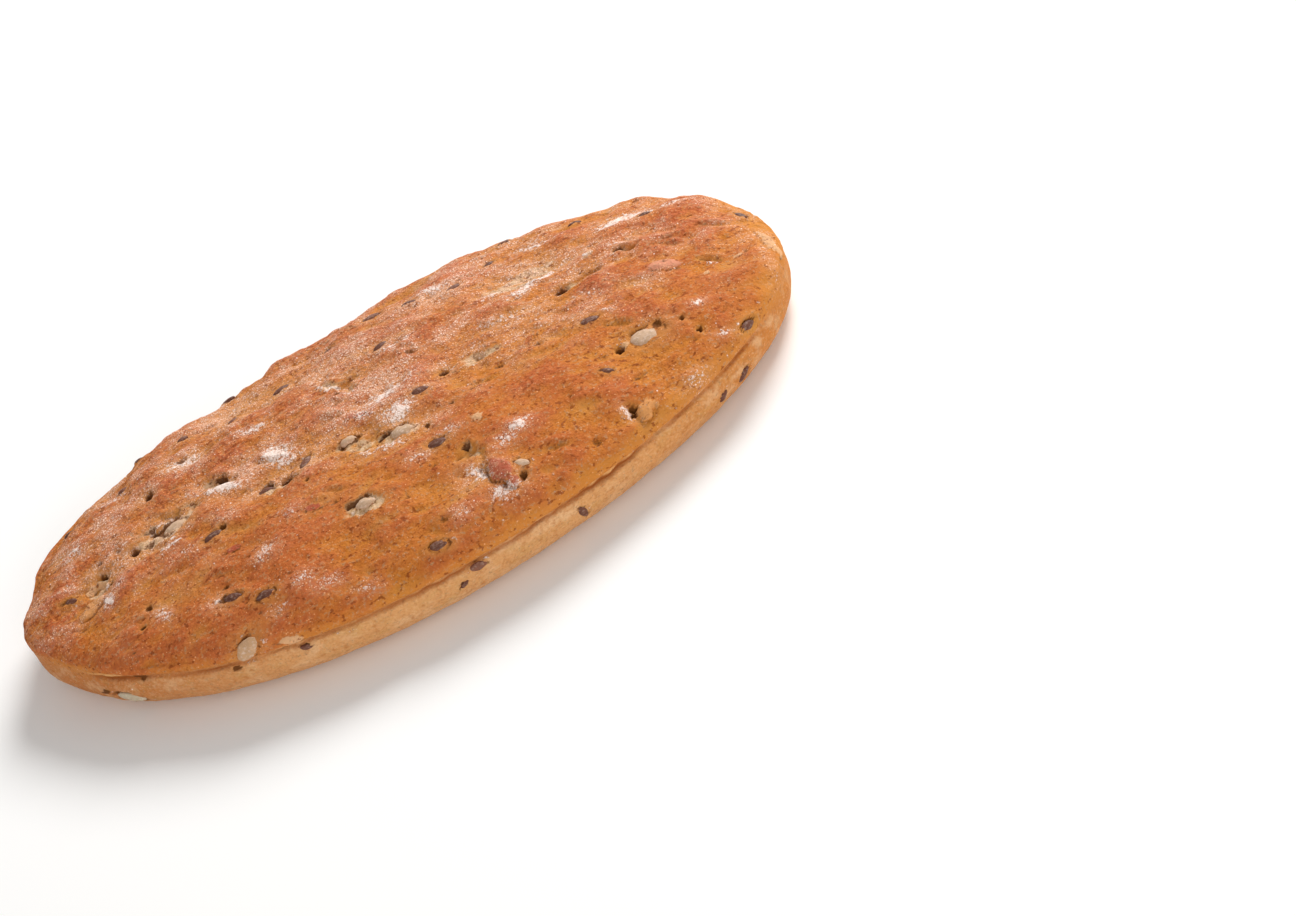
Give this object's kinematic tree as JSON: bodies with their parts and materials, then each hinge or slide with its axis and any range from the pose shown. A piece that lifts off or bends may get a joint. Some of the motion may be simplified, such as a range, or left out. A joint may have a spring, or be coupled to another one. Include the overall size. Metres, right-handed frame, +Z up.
{
  "type": "soft flatbread roll",
  "caption": "Soft oval flatbread roll, whole and unsliced, lying flat, with a browned floury crust over a paler side band and baked-in linseeds and kernels.",
  "frame": {"origin": "centre of the flat underside's bounding box, on the surface the roll lies on", "axes": "+X along the roll's length, +Y across it towards the flour-dusted back, +Z up through the browned crust"},
  "size_m": [0.2008, 0.1032, 0.0275],
  "materials": {
    "crust": "matte baked crust with flour dust",
    "linseed": "satin seed coat",
    "kernel": "matte baked sunflower kernel",
    "pumpkin_seed": "satin green-grey seed"
  },
  "bodies": {
    "root": {"flatbread": "crust"}
  },
  "joints": []
}
